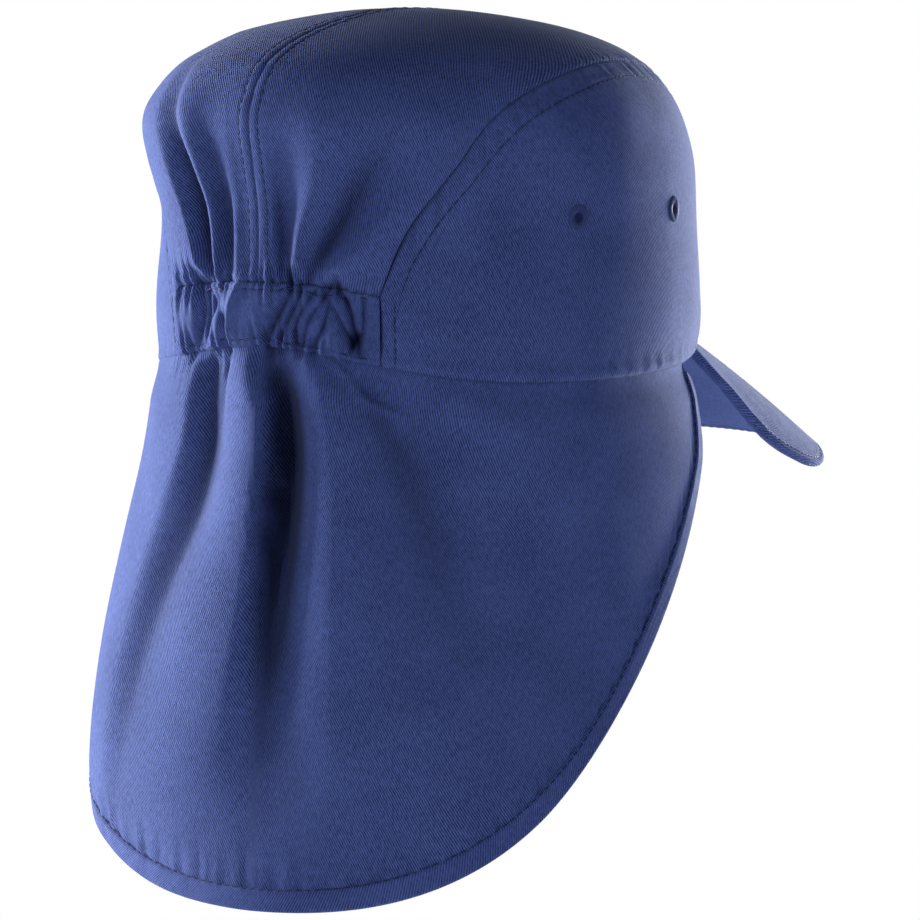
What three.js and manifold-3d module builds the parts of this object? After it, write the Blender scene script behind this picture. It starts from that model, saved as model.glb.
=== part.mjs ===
// Legionnaire cap in its worn form, in millimetres, +Z up.
// The origin is the middle of the head opening, level with the rim.
// The peak points along -Y and the wearer's right is -X.
import * as THREE from "three";
import { mergeVertices } from "three/addons/utils/BufferGeometryUtils.js";
import Module from "manifold-3d";

const wasm = await Module();
wasm.setup();

// Crown sizes
const crownLength = 200;
const crownWidth = 160;
const crownHeight = 109;
const clothThickness = 1.5;
const seamGap = 0.6;

// Rim: pulled up at the back by the elastic and arched at the front over the peak
const rimDip = 4.5;
const backLift = 12.7;
const backLiftTurn = 37;
const frontLift = 8;
const frontLiftTurn = 46;
const rimFadeHeight = 60;

// Puffed cloth of the crown and front panel: its depth, and the shares of the way up
// over which it rises from a seam
const puffDepth = 2.5;
const crownPuffFade = 0.07;
const frontPuffFade = 0.05;

// Gathered elastic casing
const casingHeight = 22.5;
const casingTurn = 27;
const casingThickness = 2.2;
const casingBulge = 1.6;
const ruffleDepth = 1.5;

// Neck flap and its hem
const flapDrop = 163;
const flapTurn = 121;
const flapFlare = 7;
const flapSwing = 21;
const foldDepth = 8;
const flapRoundness = 1.9;
const flapFullness = 0.91;
const flapTopTrim = 2;
const flapEndShare = 0.985;
const hemWidth = 7;
const hemThickness = 2.2;

// Peak
const peakTurn = 57;
const peakReach = 72;
const peakHalfWidth = 72;
const peakDrop = 30;
const peakCrest = 5.5;
const peakThickness = 3.4;
const peakRootRise = 2.2;
const peakClearance = 0.35;

// Eyelets
const eyeletRadius = 4.2;
const eyeletHole = 1.6;
const eyeletThickness = 2.4;
const eyeletClearance = 0.3;
const eyeletHeight = 42.5;
const eyeletRearTurn = 70;
const eyeletFrontTurn = 100;
const ringSides = 16;

// Fineness of the faceted walls
const frontColumns = 56;
const frontRows = 6;
const panelColumns = 18;
const panelRows = 12;
const casingColumns = 36;
const casingRows = 3;
const flapColumns = 56;
const flapRows = 10;
const peakColumns = 26;
const peakRows = 6;

// Steps over which slopes are measured: shares of a grid, degrees and shares of the way up
const shareStep = 0.004;
const turnStep = 0.2;
const alongStep = 0.01;
const weldDistance = 1e-4;

const radians = Math.PI / 180;
const halfTurn = 180;

// Sections of the crown, from the rim to the top.
// along: share of the way up; rise: of the height; spread: of the plan; lean: backward, of the half length.
const crownSections = [
  { along: 0.00, rise: 0.000, spread: 0.985, lean: 0.000 },
  { along: 0.10, rise: 0.155, spread: 1.000, lean: 0.000 },
  { along: 0.28, rise: 0.450, spread: 1.000, lean: 0.000 },
  { along: 0.36, rise: 0.575, spread: 1.000, lean: 0.025 },
  { along: 0.44, rise: 0.705, spread: 0.975, lean: 0.075 },
  { along: 0.50, rise: 0.790, spread: 0.915, lean: 0.100 },
  { along: 0.56, rise: 0.855, spread: 0.835, lean: 0.120 },
  { along: 0.62, rise: 0.900, spread: 0.730, lean: 0.127 },
  { along: 0.70, rise: 0.940, spread: 0.580, lean: 0.130 },
  { along: 0.80, rise: 0.972, spread: 0.390, lean: 0.140 },
  { along: 0.90, rise: 0.993, spread: 0.195, lean: 0.150 },
  { along: 1.00, rise: 1.000, spread: 0.000, lean: 0.155 },
];

// Side seam between the front panel and the crown panels.
// way: share of the turn from the end of the casing to the middle of the forehead;
// rise: of the crown's height.
const sideSeam = [
  { way: 0.000, rise: casingHeight / crownHeight },
  { way: 0.026, rise: 0.365 },
  { way: 0.059, rise: 0.475 },
  { way: 0.105, rise: 0.578 },
  { way: 0.157, rise: 0.687 },
  { way: 0.216, rise: 0.763 },
  { way: 0.294, rise: 0.815 },
  { way: 0.392, rise: 0.847 },
  { way: 0.490, rise: 0.855 },
  { way: 0.595, rise: 0.830 },
  { way: 0.739, rise: 0.770 },
  { way: 0.869, rise: 0.738 },
  { way: 1.000, rise: 0.728 },
];

// Puffed places of the crown panels above the side seam and the elastic.
// turn and along: the middle; wide and high: the reach; swell: outward, of the puff depth.
const crownPuffs = [
  { turn: 45, along: 0.42, wide: 26, high: 0.10, swell: 0.92 },
  { turn: 20, along: 0.38, wide: 9, high: 0.16, swell: 0.80 },
  { turn: 9, along: 0.30, wide: 4, high: 0.12, swell: -0.64 },
];

// Hollows and swells of the front panel, with the same columns
const frontPuffs = [
  { turn: 58, along: 0.26, wide: 16, high: 0.09, swell: -1.28 },
  { turn: 120, along: 0.12, wide: 30, high: 0.08, swell: 0.48 },
];

// Gathers of the elastic casing. turn: degrees from the centre back; wide: degrees;
// rise: of the ruffle depth.
const ruffles = [
  { turn: -23, wide: 1.6, rise: 0.8 },
  { turn: -18, wide: 1.8, rise: 1.0 },
  { turn: -12, wide: 1.6, rise: 0.7 },
  { turn: 8, wide: 1.7, rise: 0.9 },
  { turn: 13, wide: 1.6, rise: 1.0 },
  { turn: 18, wide: 1.7, rise: 0.8 },
  { turn: 23, wide: 1.5, rise: 0.6 },
];

// Folds of the neck flap. top and hem: degrees from the centre back where the fold starts and ends;
// from and to: share of the drop; wide: degrees; rise: of the fold depth, a valley below zero.
const flapFolds = [
  { top: -19, hem: -48, from: 0.02, to: 0.75, wide: 4.5, rise: 0.50 },
  { top: -8, hem: -27, from: 0.00, to: 1.10, wide: 6.0, rise: 0.85 },
  { top: 5, hem: 4, from: 0.00, to: 0.85, wide: 4.5, rise: -1.15 },
  { top: 11, hem: 21, from: 0.05, to: 1.00, wide: 6.0, rise: 0.55 },
  { top: 30, hem: 42, from: 0.10, to: 1.20, wide: 9.0, rise: -0.35 },
  { top: -40, hem: -62, from: 0.05, to: 1.20, wide: 9.0, rise: -0.45 },
];

// Places where the flap swings away from the neck. turn: middle; wide: reach; swing: of the flap's swing;
// by: share of the drop where it is full; tuck: share of it that is lost again at the hem.
const flapSwings = [
  { turn: -58, wide: 36, swing: 1.00, by: 0.75, tuck: 0.45 },
  { turn: 48, wide: 30, swing: 0.24, by: 0.90, tuck: 0.00 },
  { turn: 112, wide: 26, swing: 0.24, by: 0.20, tuck: 0.00 },
  { turn: -112, wide: 26, swing: 0.24, by: 0.20, tuck: 0.00 },
];

// Outer edge of the peak, from its middle to its end at the temple.
// across: share of the way; side: of the half width; reach: of the peak's reach; drop: of the drop;
// crest: how far the board bows up between root and edge, of the crest height.
const peakEdge = [
  { across: 0.00, side: 0.000, reach: 1.000, drop: 1.00, crest: 0.55 },
  { across: 0.25, side: 0.375, reach: 0.985, drop: 1.03, crest: 0.65 },
  { across: 0.45, side: 0.660, reach: 0.915, drop: 1.10, crest: 0.90 },
  { across: 0.60, side: 0.840, reach: 0.800, drop: 1.28, crest: 1.00 },
  { across: 0.72, side: 0.950, reach: 0.620, drop: 1.44, crest: 0.90 },
  { across: 0.82, side: 0.995, reach: 0.390, drop: 1.40, crest: 0.65 },
  { across: 0.91, side: 1.000, reach: 0.030, drop: 1.04, crest: 0.35 },
  { across: 1.00, side: 0.975, reach: -0.430, drop: 0.22, crest: 0.00 },
];

// Smooth value of one column of a table at a place of its key column
function readTable(rows, key, column, place) {
  const last = rows.length - 1;
  const at = Math.min(Math.max(place, rows[0][key]), rows[last][key]);
  let row = 0;
  while (row < last - 1 && at > rows[row + 1][key]) row += 1;
  const slope = (i) => {
    if (i <= 0 || i >= last) {
      const j = i <= 0 ? 0 : last - 1;
      return (rows[j + 1][column] - rows[j][column]) / (rows[j + 1][key] - rows[j][key]);
    }
    return (rows[i + 1][column] - rows[i - 1][column]) / (rows[i + 1][key] - rows[i - 1][key]);
  };
  const step = rows[row + 1][key] - rows[row][key];
  const t = (at - rows[row][key]) / step;
  const start = rows[row][column];
  const end = rows[row + 1][column];
  const rising = t * t * (3 - 2 * t);
  const leaving = t * (1 - t) * (1 - t) * step * slope(row);
  const arriving = t * t * (t - 1) * step * slope(row + 1);
  return start + (end - start) * rising + leaving + arriving;
}

// Bell-shaped weight: 1 in the middle, falling away within the reach
function bell(distance, reach) {
  return Math.exp(-((distance / reach) ** 2));
}

// Weight that grows smoothly from 0 at one place to 1 at another
function ease(value, from, to) {
  const t = Math.min(Math.max((value - from) / (to - from), 0), 1);
  return t * t * (3 - 2 * t);
}

// Angle from the centre back, the same on both sides
function fromBack(turn) {
  return Math.abs(turn) > halfTurn ? 2 * halfTurn - Math.abs(turn) : Math.abs(turn);
}

function rimHeight(turn) {
  const away = fromBack(turn);
  return backLift * bell(away, backLiftTurn) + frontLift * bell(away - halfTurn, frontLiftTurn) - rimDip;
}

// Point in plan on the crown's oval, at a share of its spread
function planPoint(turn, spread, height) {
  const x = -Math.sin(turn * radians) * crownWidth / 2 * spread;
  const y = Math.cos(turn * radians) * crownLength / 2 * spread;
  return new THREE.Vector3(x, y, height);
}

// Outward direction in plan
function planNormal(turn) {
  const x = -Math.sin(turn * radians) * crownLength;
  const y = Math.cos(turn * radians) * crownWidth;
  return new THREE.Vector3(x, y, 0).normalize();
}

// Smooth crown without its puffs
function plainCrown(turn, along) {
  const rise = readTable(crownSections, "along", "rise", along) * crownHeight;
  const spread = readTable(crownSections, "along", "spread", along);
  const lean = readTable(crownSections, "along", "lean", along) * crownLength / 2;
  const point = planPoint(turn, spread, rise + rimHeight(turn) * (1 - ease(rise, 0, rimFadeHeight)));
  point.y += lean;
  return point;
}

// Share of the way up the crown at a height above the rim
function alongAtHeight(height) {
  let low = 0;
  let high = 1;
  for (let i = 0; i < 30; i += 1) {
    const middle = (low + high) / 2;
    if (readTable(crownSections, "along", "rise", middle) * crownHeight < height) low = middle;
    else high = middle;
  }
  return low;
}

const crownGirth = crownHeight + crownLength / 3;
const gapAlong = seamGap / 2 / crownGirth;
const casingAlong = alongAtHeight(casingHeight);

// Half of the seam gap as an angle across the plan, in degrees
const gapTurn = seamGap / 2 / (crownWidth / 2) / radians;

const seamRows = sideSeam.map(({ way, rise }) => ({
  turn: casingTurn + (halfTurn - casingTurn) * way,
  along: alongAtHeight(rise * crownHeight),
}));

// Share of the way up at which the side seam runs
function seamAlong(turn) {
  return readTable(seamRows, "turn", "along", fromBack(turn));
}

// Half of the seam gap, measured square to the side seam, as a share of the way up
function seamGapAlong(turn) {
  const slope = (seamAlong(turn + 1) - seamAlong(turn - 1)) / 2 * gapTurn / gapAlong;
  return gapAlong * Math.hypot(1, slope);
}

// Sum of the puffs of a table at a place
function swellAt(puffs, turn, along) {
  let swell = 0;
  for (const puff of puffs) {
    const weight = bell(fromBack(turn) - puff.turn, puff.wide) * bell(along - puff.along, puff.high);
    swell += puff.swell * puffDepth * weight;
  }
  return swell;
}

// Crown panel: rises from its edges into the puffs
function crownAt(turn, along) {
  const edge = ease(along - seamAlong(turn), 0, crownPuffFade);
  return plainCrown(turn, along).addScaledVector(planNormal(turn), swellAt(crownPuffs, turn, along) * edge);
}

// Front panel: its hollows fade out at the side seam
function frontAt(turn, along) {
  const edge = ease(seamAlong(turn) - along, 0, frontPuffFade);
  return plainCrown(turn, along).addScaledVector(planNormal(turn), swellAt(frontPuffs, turn, along) * edge);
}

// Flap: hangs from the rim, swings out and folds towards its hem
function flapAt(turn, down) {
  const tuckedBy = 1.05;
  const foldSlant = 1.4;
  const foldStart = 0.16;
  const foldEnd = 0.4;
  const point = planPoint(turn, crownSections[0].spread, rimHeight(turn) - down);
  const share = Math.max(down, 0) / flapDrop;
  let out = flapFlare * share * share;
  for (const place of flapSwings) {
    const length = ease(share, 0, place.by) * (1 - place.tuck * ease(share, place.by, tuckedBy));
    out += place.swing * flapSwing * bell(turn - place.turn, place.wide) * length;
  }
  for (const fold of flapFolds) {
    const middle = fold.top + (fold.hem - fold.top) * share ** foldSlant;
    const begun = ease(share, fold.from, fold.from + foldStart);
    const length = begun * (1 - ease(share, fold.to - foldEnd, fold.to));
    out += fold.rise * foldDepth * length * bell(turn - middle, fold.wide);
  }
  return point.addScaledVector(planNormal(turn), out);
}

// Outline of the flap, as how far it hangs at a turn
function flapDepth(turn) {
  const share = Math.min(Math.abs(turn) / flapTurn, 1);
  return (flapDrop + backLift - rimDip) * (1 - share ** flapRoundness) ** flapFullness;
}

// Closed wall between an outer face and the same face moved inward, on a grid of columns and rows.
// plumb says where the face is moved straight down instead of square to itself.
function wall(outerAt, columns, rows, thickness, inward = 1, plumb = () => 0) {
  const positions = [];
  const inner = [];
  for (let i = 0; i <= columns; i += 1) {
    for (let j = 0; j <= rows; j += 1) {
      const u = i / columns;
      const v = j / rows;
      const point = outerAt(u, v);
      const across = outerAt(u + shareStep, v).sub(outerAt(u - shareStep, v));
      const along = outerAt(u, v + shareStep).sub(outerAt(u, v - shareStep));
      const normal = across.cross(along).normalize().lerp(new THREE.Vector3(0, 0, 1), plumb(v));
      positions.push(point.x, point.y, point.z);
      point.addScaledVector(normal, -thickness * inward);
      inner.push(point.x, point.y, point.z);
    }
  }
  const count = positions.length / 3;
  const at = (i, j) => i * (rows + 1) + j;
  const index = [];
  for (let i = 0; i < columns; i += 1) {
    for (let j = 0; j < rows; j += 1) {
      const [a, b, c, d] = [at(i, j), at(i + 1, j), at(i + 1, j + 1), at(i, j + 1)];
      index.push(a, b, c, a, c, d);
      index.push(count + a, count + c, count + b, count + a, count + d, count + c);
    }
  }
  const rim = [];
  for (let i = 0; i < columns; i += 1) rim.push(at(i, 0));
  for (let j = 0; j < rows; j += 1) rim.push(at(columns, j));
  for (let i = columns; i > 0; i -= 1) rim.push(at(i, rows));
  for (let j = rows; j > 0; j -= 1) rim.push(at(0, j));
  rim.forEach((a, k) => {
    const b = rim[(k + 1) % rim.length];
    index.push(a, count + a, count + b, a, count + b, b);
  });
  if (inward < 0) index.reverse();
  const geometry = new THREE.BufferGeometry();
  geometry.setAttribute("position", new THREE.Float32BufferAttribute(positions.concat(inner), 3));
  geometry.setIndex(index);
  return geometry;
}

function toSolid(geometry) {
  const bare = geometry.clone();
  bare.deleteAttribute("normal");
  bare.deleteAttribute("uv");
  const merged = mergeVertices(bare, weldDistance);
  return new wasm.Manifold(new wasm.Mesh({
    numProp: 3,
    vertProperties: new Float32Array(merged.attributes.position.array),
    triVerts: new Uint32Array(merged.index.array),
  }));
}

function toGeometry(solid) {
  const mesh = solid.getMesh();
  const geometry = new THREE.BufferGeometry();
  geometry.setAttribute("position", new THREE.Float32BufferAttribute(mesh.vertProperties, 3));
  geometry.setIndex(Array.from(mesh.triVerts));
  return geometry;
}

const cloth = new THREE.MeshStandardMaterial({ color: 0x2e3c72, roughness: 0.9, metalness: 0 });
const thread = new THREE.MeshStandardMaterial({ color: 0x1b2550, roughness: 0.7, metalness: 0 });

const cap = new THREE.Group();

function addPiece(name, geometry, material = cloth) {
  geometry.computeVertexNormals();
  const mesh = new THREE.Mesh(geometry, material);
  mesh.name = name;
  cap.add(mesh);
  return mesh;
}

// Outer face of the front panel, from the right end of the casing round the forehead to the left end
function frontPanelAt(u, v) {
  const start = casingTurn + gapTurn * 2;
  const turn = start + (2 * halfTurn - 2 * start) * u;
  const top = seamAlong(turn) - seamGapAlong(turn);
  return frontAt(turn, top * v);
}

// Places of the four eyelets and the outward direction of the cloth there
function eyeletPlaces() {
  const along = alongAtHeight(eyeletHeight + rimDip);
  const rows = [
    { name: "eyelet_right_rear", turn: eyeletRearTurn },
    { name: "eyelet_right_front", turn: eyeletFrontTurn },
    { name: "eyelet_left_front", turn: -eyeletFrontTurn },
    { name: "eyelet_left_rear", turn: -eyeletRearTurn },
  ];
  return rows.map(({ name, turn }) => {
    const point = frontAt(turn, along);
    const across = frontAt(turn + 1, along).sub(frontAt(turn - 1, along));
    const up = frontAt(turn, along + alongStep).sub(frontAt(turn, along - alongStep));
    const normal = up.cross(across).normalize();
    return { name, point: point.addScaledVector(normal, -clothThickness / 2), normal };
  });
}

function buildFrontPanel() {
  let solid = toSolid(wall(frontPanelAt, frontColumns, frontRows, clothThickness));
  for (const { point, normal } of eyeletPlaces()) {
    const radius = eyeletRadius + eyeletClearance;
    const drill = new THREE.CylinderGeometry(radius, radius, eyeletThickness * 4, ringSides);
    drill.applyQuaternion(new THREE.Quaternion().setFromUnitVectors(new THREE.Vector3(0, 1, 0), normal));
    drill.translate(point.x, point.y, point.z);
    solid = solid.subtract(toSolid(drill));
  }
  addPiece("front_panel", toGeometry(solid));
}

// Lathed ring with its seam closed
function mergeRing(geometry) {
  geometry.deleteAttribute("normal");
  geometry.deleteAttribute("uv");
  return mergeVertices(geometry, weldDistance);
}

function buildEyelets() {
  for (const { name, point, normal } of eyeletPlaces()) {
    const profile = [
      new THREE.Vector2(eyeletHole, -eyeletThickness / 2),
      new THREE.Vector2(eyeletRadius, -eyeletThickness / 3),
      new THREE.Vector2(eyeletRadius, eyeletThickness / 3),
      new THREE.Vector2(eyeletHole, eyeletThickness / 2),
      new THREE.Vector2(eyeletHole, -eyeletThickness / 2),
    ];
    const ring = addPiece(name, mergeRing(new THREE.LatheGeometry(profile, ringSides)), thread);
    ring.quaternion.setFromUnitVectors(new THREE.Vector3(0, 1, 0), normal);
    ring.position.copy(point);
  }
}

// Crown panel: a four-sided patch between the centre seam, the casing, the side seam and the forehead.
// side is 1 for the wearer's right and -1 for the left.
function crownPanelAt(side) {
  const cornerTurn = 140;
  const cornerCurve = 4;
  const disc = (turn, along) => new THREE.Vector2(
    Math.sin(turn * radians) * (1 - along), Math.cos(turn * radians) * (1 - along));
  const bottom = casingAlong + gapAlong;
  const seamEdge = (turn) => seamAlong(turn) + seamGapAlong(turn);
  const cornerLift = seamEdge(casingTurn) - bottom;
  const centre = (s) => new THREE.Vector2(
    gapAlong, (1 - bottom) + ((seamEdge(halfTurn) - 1) - (1 - bottom)) * s);
  const outer = (s) => {
    const turn = casingTurn + (cornerTurn - casingTurn) * s;
    return disc(turn, seamEdge(turn));
  };
  const back = (w) => disc(gapTurn + (casingTurn - gapTurn) * w, bottom + cornerLift * w ** cornerCurve);
  const front = (w) => {
    const turn = halfTurn - gapTurn + (cornerTurn - halfTurn + gapTurn) * w;
    return disc(turn, seamEdge(turn));
  };
  return (s, w) => {
    const place = new THREE.Vector2();
    place.addScaledVector(centre(s), 1 - w).addScaledVector(outer(s), w);
    place.addScaledVector(back(w), 1 - s).addScaledVector(front(w), s);
    place.addScaledVector(centre(0), -(1 - s) * (1 - w)).addScaledVector(outer(0), -(1 - s) * w);
    place.addScaledVector(centre(1), -s * (1 - w)).addScaledVector(outer(1), -s * w);
    const turn = Math.atan2(place.x, place.y) / radians;
    return crownAt(side * turn, 1 - place.length());
  };
}

function buildCrownPanels() {
  addPiece("crown_panel_right", wall(crownPanelAt(1), panelColumns, panelRows, clothThickness, -1));
  addPiece("crown_panel_left", wall(crownPanelAt(-1), panelColumns, panelRows, clothThickness));
}

function buildCasing() {
  const start = -casingTurn + gapTurn;
  const top = casingAlong - gapAlong;
  const casingAt = (u, v) => {
    const turn = start * (1 - 2 * u);
    const point = plainCrown(turn, top * v);
    let out = casingBulge * 4 * v * (1 - v);
    for (const ruffle of ruffles) {
      out += ruffleDepth * ruffle.rise * bell(turn - ruffle.turn, ruffle.wide);
    }
    return point.addScaledVector(planNormal(turn), out);
  };
  addPiece("elastic_casing", wall(casingAt, casingColumns, casingRows, casingThickness));
}

// Share of the turn at a share of the columns, which stand closer towards both ends of the flap
function flapWave(u) {
  return Math.sin((2 * u - 1) * Math.PI / 2) * flapEndShare;
}

// Place on the flap's outline, moved inward over the cloth by a distance
function flapEdge(u, inset) {
  const turn = flapTurn * flapWave(u);
  const perDegree = planPoint(turn + 1, 1, 0).distanceTo(planPoint(turn, 1, 0));
  const rise = (flapDepth(turn + turnStep) - flapDepth(turn - turnStep)) / (2 * turnStep * perDegree);
  const length = Math.hypot(1, rise);
  return {
    turn: turn + (rise / length) * inset / perDegree,
    down: flapDepth(turn) - inset / length,
  };
}

function buildFlap() {
  const flapPointAt = (u, v) => {
    const edge = flapEdge(u, hemWidth + seamGap);
    const topTurn = (flapTurn - flapTopTrim) * flapWave(u);
    const down = seamGap + (edge.down - seamGap) * v;
    return flapAt(topTurn + (edge.turn - topTurn) * v, down);
  };
  addPiece("neck_flap", wall(flapPointAt, flapColumns, flapRows, clothThickness, -1));
}

function buildHem() {
  const hemAt = (u, v) => {
    const edge = flapEdge(u, hemWidth * (1 - v));
    const proud = (hemThickness - clothThickness) / 2;
    return flapAt(edge.turn, edge.down).addScaledVector(planNormal(edge.turn), proud);
  };
  addPiece("flap_hem", wall(hemAt, flapColumns, 1, hemThickness, -1));
}

function buildPeak() {
  const rootAlong = alongAtHeight(peakRootRise);
  const peakAt = (u, v) => {
    const across = 2 * u - 1;
    const side = Math.abs(across);
    const turn = halfTurn - across * peakTurn;
    const root = frontAt(turn, rootAlong).addScaledVector(planNormal(turn), peakClearance);
    const front = crownLength / 2 + readTable(peakEdge, "across", "reach", side) * peakReach;
    const edge = new THREE.Vector3(
      -Math.sign(across) * readTable(peakEdge, "across", "side", side) * peakHalfWidth,
      -front,
      -rimDip - readTable(peakEdge, "across", "drop", side) * peakDrop,
    );
    const crest = readTable(peakEdge, "across", "crest", side) * peakCrest * 4 * v * (1 - v);
    return root.lerp(edge, v).add(new THREE.Vector3(0, 0, crest));
  };
  const plumbShare = 0.3;
  const plumbRoot = (v) => 1 - ease(v, 0, plumbShare);
  addPiece("peak", wall(peakAt, peakColumns, peakRows, peakThickness, 1, plumbRoot));
}

buildFrontPanel();
buildCrownPanels();
buildCasing();
buildFlap();
buildHem();
buildPeak();
buildEyelets();

export default cap;
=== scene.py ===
from math import cos, pi, radians, sin

import bmesh
import bpy
import numpy as np
from mathutils import Matrix, Vector
from mathutils.bvhtree import BVHTree


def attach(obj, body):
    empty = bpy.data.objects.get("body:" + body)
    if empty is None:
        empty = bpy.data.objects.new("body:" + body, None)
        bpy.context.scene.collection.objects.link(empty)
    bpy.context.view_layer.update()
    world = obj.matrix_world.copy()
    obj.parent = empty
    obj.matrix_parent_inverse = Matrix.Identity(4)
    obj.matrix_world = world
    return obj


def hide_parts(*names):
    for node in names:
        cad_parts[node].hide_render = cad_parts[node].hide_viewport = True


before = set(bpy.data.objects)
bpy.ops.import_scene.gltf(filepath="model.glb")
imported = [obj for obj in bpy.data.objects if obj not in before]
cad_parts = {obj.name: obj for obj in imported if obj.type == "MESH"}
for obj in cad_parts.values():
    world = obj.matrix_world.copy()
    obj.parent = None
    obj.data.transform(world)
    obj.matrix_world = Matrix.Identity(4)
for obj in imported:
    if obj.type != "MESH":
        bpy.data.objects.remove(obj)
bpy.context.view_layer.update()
print("stage: frame loaded")

mm = 0.001

# camera, aimed a little below the rim from behind and to the right of the wearer
cameraView = {
    "turn": 211, "rise": 5, "away": 1.6, "lens": 196.3, "sensor": 36, "aimRight": 0.0099, "aimDown": 0.0351,
}
cameraTurn, cameraRise = radians(cameraView["turn"]), radians(cameraView["rise"])
toCamera = Vector((sin(cameraTurn), -cos(cameraTurn), 0)) * cos(cameraRise) + Vector((0, 0, sin(cameraRise)))
cameraRight = Vector((cos(cameraTurn), sin(cameraTurn), 0))
cameraUp = toCamera.cross(cameraRight)
camera = bpy.data.objects.new("camera", bpy.data.cameras.new("camera"))
camera.data.lens = cameraView["lens"]
camera.data.sensor_width = cameraView["sensor"]
camera.data.clip_start = 0.1
camera.location = toCamera * cameraView["away"]
aim = cameraRight * cameraView["aimRight"] - cameraUp * cameraView["aimDown"]
camera.rotation_euler = (aim - camera.location).to_track_quat("-Z", "Y").to_euler()
bpy.context.collection.objects.link(camera)
bpy.context.scene.camera = camera
bpy.context.scene.view_settings.view_transform = "Standard"

# softboxes placed by right, up and towards the camera, in metres, all aimed at the middle of the cap
softboxes = {
    "leftSoftbox": {
        "at": (-1.26, 0.14, -0.54), "wide": 0.6, "high": 0.8,
        "power": 78, "colour": (1, 0.97, 0.87),
    },
    "rightSoftbox": {
        "at": (0.84, -0.04, -1.12), "wide": 0.5, "high": 0.7,
        "power": 60, "colour": (0.95, 0.98, 1),
    },
    "leftFill": {
        "at": (-0.82, 0.10, 1.05), "wide": 0.6, "high": 0.9,
        "power": 8.0, "colour": (1, 1, 1),
    },
    "rightFill": {
        "at": (1.15, 0.10, 0.66), "wide": 0.6, "high": 0.9,
        "power": 5.6, "colour": (1, 1, 1),
    },
}
capMiddle = (0, -0.03, 0)
for name, box in softboxes.items():
    lamp = bpy.data.objects.new(name, bpy.data.lights.new(name, "AREA"))
    lamp.data.shape = "RECTANGLE"
    lamp.data.size = box["wide"]
    lamp.data.size_y = box["high"]
    lamp.data.energy = box["power"]
    lamp.data.color = box["colour"]
    spots = []
    for right, up, near in (box["at"], capMiddle):
        spots.append(cameraRight * right + cameraUp * up + toCamera * near)
    lamp.location = spots[0]
    lamp.rotation_euler = (spots[1] - lamp.location).to_track_quat("-Z", "Y").to_euler()
    lamp.visible_camera = False
    bpy.context.collection.objects.link(lamp)

# dim light from all round, stronger from below, and plain white where the camera sees past the cap
studio = {
    "From Min": 0.70, "From Max": -0.10, "To Min": 0.04, "To Max": 0.26,
    "tint": (0.94, 0.97, 1, 1), "backdrop": (1, 1, 1, 1),
}
world = bpy.data.worlds.new("studio")
bpy.context.scene.world = world
world.use_nodes = True
worldTree = world.node_tree
worldTree.nodes.clear()
heading = worldTree.nodes.new("ShaderNodeTexCoord")
height = worldTree.nodes.new("ShaderNodeSeparateXYZ")
worldTree.links.new(heading.outputs["Generated"], height.inputs[0])
glow = worldTree.nodes.new("ShaderNodeMapRange")
for socket in ("From Min", "From Max", "To Min", "To Max"):
    glow.inputs[socket].default_value = studio[socket]
worldTree.links.new(height.outputs["Z"], glow.inputs["Value"])
dim = worldTree.nodes.new("ShaderNodeBackground")
dim.inputs["Color"].default_value = studio["tint"]
worldTree.links.new(glow.outputs[0], dim.inputs["Strength"])
plain = worldTree.nodes.new("ShaderNodeBackground")
plain.inputs["Color"].default_value = studio["backdrop"]
plain.inputs["Strength"].default_value = 1.0
seen = worldTree.nodes.new("ShaderNodeLightPath")
choose = worldTree.nodes.new("ShaderNodeMixShader")
worldOut = worldTree.nodes.new("ShaderNodeOutputWorld")
worldTree.links.new(seen.outputs["Is Camera Ray"], choose.inputs[0])
worldTree.links.new(dim.outputs[0], choose.inputs[1])
worldTree.links.new(plain.outputs[0], choose.inputs[2])
worldTree.links.new(choose.outputs[0], worldOut.inputs["Surface"])

# pale floor half a metre down, below the frame, because the photograph shows none under the cap
floor = {"radius": 0.7, "down": 0.5, "colour": (0.8, 0.8, 0.8, 1)}
form = bmesh.new()
place = Matrix.Translation((0, 0, -floor["down"]))
bmesh.ops.create_circle(form, cap_ends=True, segments=96, radius=floor["radius"], matrix=place)
floorMesh = bpy.data.meshes.new("floor")
form.to_mesh(floorMesh)
form.free()
floorPaint = bpy.data.materials.new("floorPaint")
floorPaint.use_nodes = True
floorPaint.node_tree.nodes["Principled BSDF"].inputs["Base Color"].default_value = floor["colour"]
floorMesh.materials.append(floorPaint)
floorPiece = bpy.data.objects.new("floor", floorMesh)
bpy.context.collection.objects.link(floorPiece)
print("stage: camera, light and floor")


class Wire:
    # one output socket, so that shader maths reads as sums
    def __init__(self, tree, socket=None):
        self.tree = tree
        self.socket = socket

    def node(self, kind, settings=None, sockets=None, out=0):
        made = self.tree.nodes.new("ShaderNode" + kind)
        for key, value in (settings or {}).items():
            setattr(made, key, value)
        for key, value in (sockets or {}).items():
            if isinstance(value, Wire):
                self.tree.links.new(value.socket, made.inputs[key])
            else:
                made.inputs[key].default_value = value
        return Wire(self.tree, made.outputs[out])

    def maths(self, operation, first, second=0.0):
        return self.node("Math", {"operation": operation}, {0: first, 1: second})

    def __add__(self, other):
        return self.maths("ADD", self, other)

    def __radd__(self, other):
        return self.maths("ADD", other, self)

    def __sub__(self, other):
        return self.maths("SUBTRACT", self, other)

    def __rsub__(self, other):
        return self.maths("SUBTRACT", other, self)

    def __mul__(self, other):
        return self.maths("MULTIPLY", self, other)

    def __rmul__(self, other):
        return self.maths("MULTIPLY", other, self)

    def wave(self):
        return self.maths("SINE", self)

    def limited(self, low, high):
        return self.node("Clamp", None, {"Value": self, "Min": low, "Max": high})


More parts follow.
